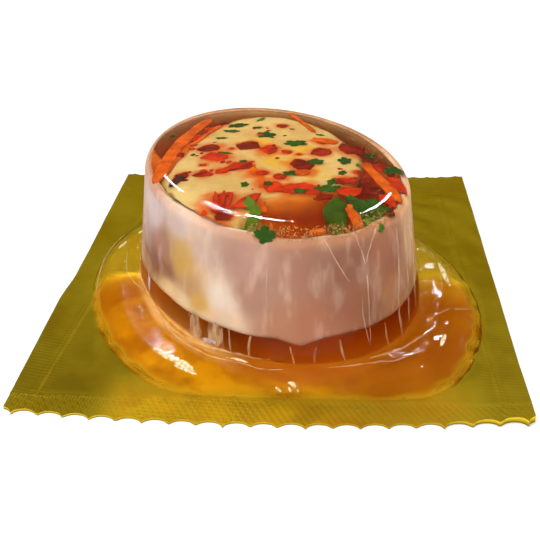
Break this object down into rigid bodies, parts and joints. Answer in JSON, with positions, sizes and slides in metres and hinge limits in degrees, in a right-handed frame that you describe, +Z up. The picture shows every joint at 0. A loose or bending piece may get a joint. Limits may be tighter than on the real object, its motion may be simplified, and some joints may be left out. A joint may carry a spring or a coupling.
{
  "type": "savoury moulded jelly in a sealed pack",
  "caption": "Oval moulded amber jelly with a ham wall and vegetables in its top, sealed under clear film on a gold base sheet.",
  "frame": {"origin": "middle of the flat underside of the gold base sheet", "axes": "+Z up, out of the jelly's top; +Y along the pack from the deeply scalloped front end to the finely scalloped back end; +X to the right seen from the front"},
  "size_m": [0.13, 0.154, 0.0425],
  "materials": {
    "gold_foil": "smooth metallised gold laminate with crimped seals",
    "clear_film": "thin glossy clear film",
    "amber_jelly": "clear amber jelly, wet and glossy",
    "squeezed_jelly": "clear orange-amber jelly under the film",
    "cooked_ham": "soft moist cooked ham"
  },
  "bodies": {
    "root": {"gold_base": "gold_foil", "clear_film": "clear_film", "jelly_block": "amber_jelly", "jelly_rim": "squeezed_jelly", "ham_wall": "cooked_ham"}
  },
  "joints": []
}
